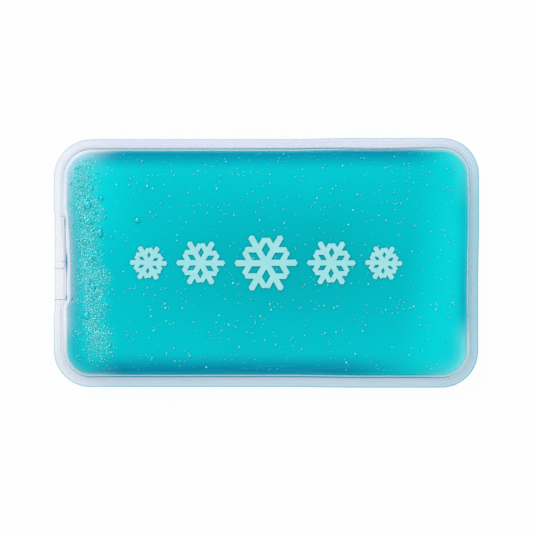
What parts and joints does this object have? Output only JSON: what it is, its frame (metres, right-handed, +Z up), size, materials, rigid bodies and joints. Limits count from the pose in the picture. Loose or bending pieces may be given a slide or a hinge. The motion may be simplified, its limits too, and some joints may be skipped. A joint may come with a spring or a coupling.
{
  "type": "reusable gel ice pack",
  "caption": "Flat rectangular pouch of clear welded film with round corners, filled with translucent blue-green cooling gel, with a closing weld on one short side and a printed front.",
  "frame": {"origin": "middle of the flat underside that the pouch lies on", "axes": "+X along the pouch, away from the closing weld; +Y across it; +Z up, out of the printed front"},
  "size_m": [0.15, 0.0876, 0.0153],
  "materials": {
    "clear_film": "clear, smooth and glossy",
    "cooling_gel": "translucent, wet-looking",
    "pale_ink": "thin satin print"
  },
  "bodies": {
    "root": {"front_film": "clear_film", "back_film": "clear_film", "gel_filling": "cooling_gel", "front_print": "pale_ink"}
  },
  "joints": []
}
